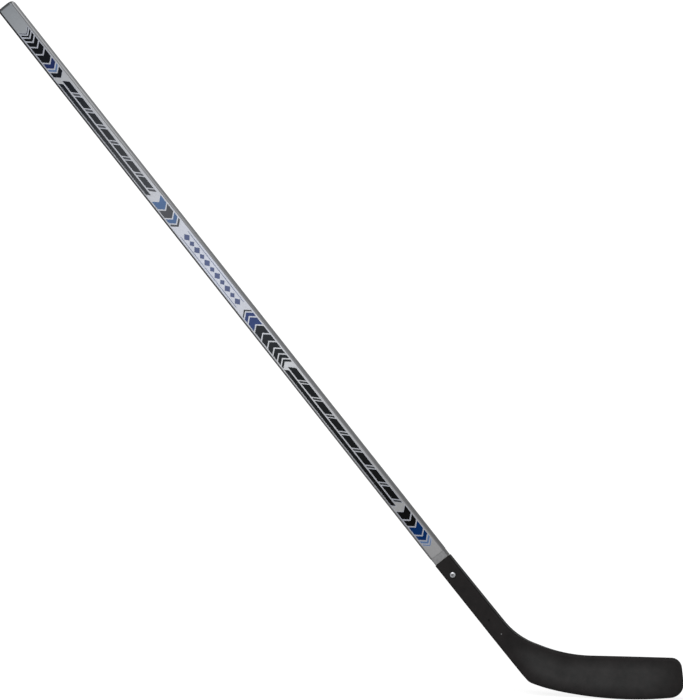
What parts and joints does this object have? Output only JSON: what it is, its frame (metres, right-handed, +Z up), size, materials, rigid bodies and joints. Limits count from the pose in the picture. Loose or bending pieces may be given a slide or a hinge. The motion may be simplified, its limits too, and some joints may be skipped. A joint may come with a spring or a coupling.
{
  "type": "street hockey stick",
  "caption": "Street hockey stick: laminated wooden shaft in a printed skin, its tenon screwed into a moulded plastic blade with a long hosel and a curved toe.",
  "frame": {"origin": "on the shaft's axis in the middle of the upper hand's grip, 60 mm from the butt end", "axes": "the stick stands as it is held in play: +X forward to the toe, +Z up from the ground, +Y from the shown face to the back; the shaft leans 51 degrees from level"},
  "size_m": [1.0996, 0.0253, 1.0886],
  "materials": {
    "silver_print": "silver-grey printed film under clear lacquer, half gloss",
    "fibreglass": "resin-bound glass cloth, grey",
    "birch": "rotary-cut ply, unfinished",
    "poplar": "soft ply, unfinished",
    "black_abs": "moulded, fine matt grain",
    "zinc_steel": "bright zinc plate"
  },
  "bodies": {
    "root": {"printed_skin": "silver_print", "fibreglass_front": "fibreglass", "fibreglass_back": "fibreglass", "birch_ply_front": "birch", "birch_ply_back": "birch", "core_ply_1": "poplar", "core_ply_2": "poplar", "core_ply_3": "poplar", "core_ply_4": "poplar", "core_ply_5": "poplar", "blade": "black_abs", "blade_screw": "zinc_steel"}
  },
  "joints": []
}
